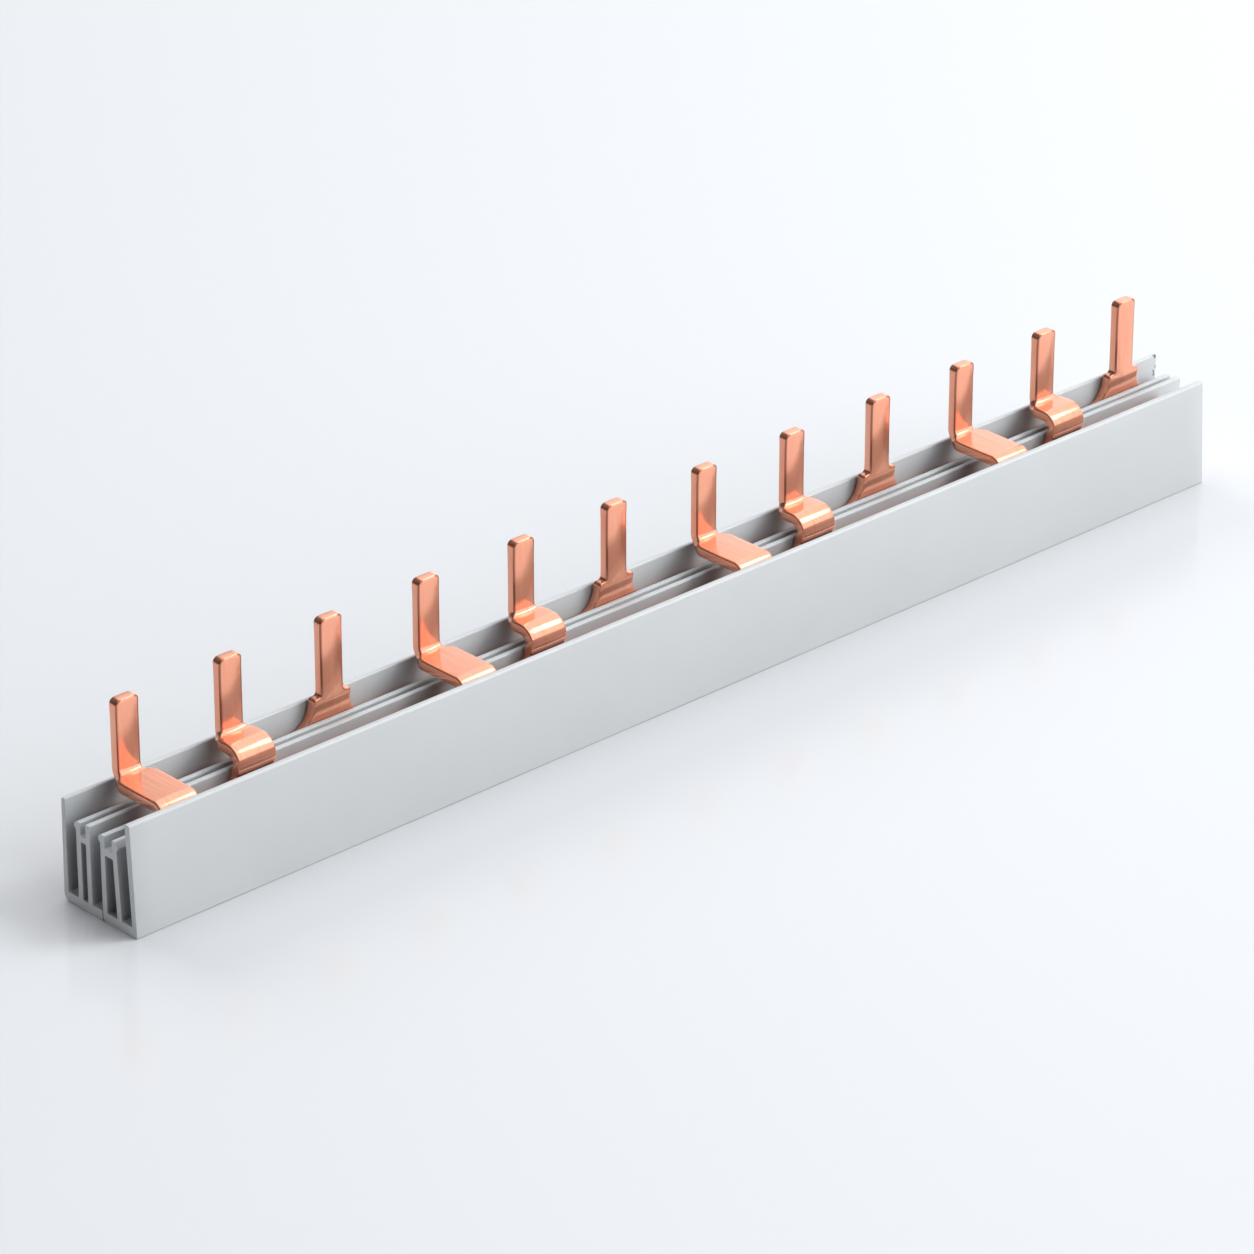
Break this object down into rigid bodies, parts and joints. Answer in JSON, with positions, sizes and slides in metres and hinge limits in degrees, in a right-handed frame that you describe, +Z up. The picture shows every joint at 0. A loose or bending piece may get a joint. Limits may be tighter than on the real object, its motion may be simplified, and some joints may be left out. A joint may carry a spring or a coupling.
{
  "type": "comb busbar",
  "caption": "Long light-grey insulating channel, open at both ends, holding bent copper comb strips whose flat pins stand upright in a line along the rear edge.",
  "frame": {"origin": "under the middle of the bar, on the surface that it stands on", "axes": "+X along the bar towards the end where the front profile is short, +Y towards the wall beside the pins, +Z up along the pins"},
  "size_m": [0.215, 0.0154, 0.028],
  "materials": {
    "insulation": "satin light-grey extruded plastic",
    "copper": "satin copper with fine brush lines"
  },
  "bodies": {
    "root": {"rear_insulation_profile": "insulation", "front_insulation_profile": "insulation", "rear_phase_comb": "copper", "middle_phase_comb": "copper", "front_phase_comb": "copper"}
  },
  "joints": []
}
